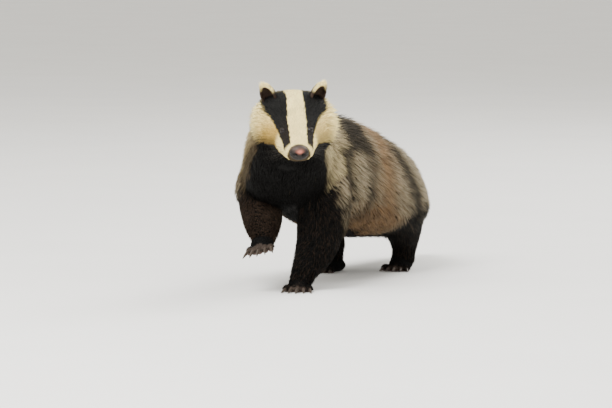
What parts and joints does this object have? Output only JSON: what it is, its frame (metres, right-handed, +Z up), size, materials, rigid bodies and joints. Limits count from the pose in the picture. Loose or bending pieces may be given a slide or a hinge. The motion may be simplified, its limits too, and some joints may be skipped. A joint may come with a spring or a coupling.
{
  "type": "european badger model",
  "caption": "Life-size still model of a European badger walking with one forepaw lifted, bristly grey coat, striped head, short tail.",
  "frame": {"origin": "on the floor, under the middle of the model's bounding box", "axes": "+Z up, -Y the way the animal heads, +X its own left side"},
  "size_m": [0.2546, 0.8653, 0.3671],
  "materials": {
    "black_fur": "short dense black fur",
    "cream_fur": "dense cream fur with black stripes on the head",
    "grey_fur": "long bristly grizzled coat",
    "nose": "moist bare skin",
    "eye": "glossy dark brown",
    "claw": "worn horn"
  },
  "bodies": {
    "root": {"head": "cream_fur", "neck": "cream_fur", "torso": "grey_fur", "tail": "cream_fur", "nose": "nose", "left_eye": "eye", "right_eye": "eye", "left_ear": "black_fur", "right_ear": "black_fur", "left_fore_leg": "black_fur", "right_fore_leg": "black_fur", "left_hind_leg": "black_fur", "right_hind_leg": "black_fur", "left_fore_paw": "black_fur", "right_fore_paw": "black_fur", "left_hind_paw": "black_fur", "right_hind_paw": "black_fur", "left_fore_claw_1": "claw", "left_fore_claw_2": "claw", "left_fore_claw_3": "claw", "left_fore_claw_4": "claw", "left_fore_claw_5": "claw", "right_fore_claw_1": "claw", "right_fore_claw_2": "claw", "right_fore_claw_3": "claw", "right_fore_claw_4": "claw", "right_fore_claw_5": "claw", "left_hind_claw_1": "claw", "left_hind_claw_2": "claw", "left_hind_claw_3": "claw", "left_hind_claw_4": "claw", "left_hind_claw_5": "claw", "right_hind_claw_1": "claw", "right_hind_claw_2": "claw", "right_hind_claw_3": "claw", "right_hind_claw_4": "claw", "right_hind_claw_5": "claw"}
  },
  "joints": []
}
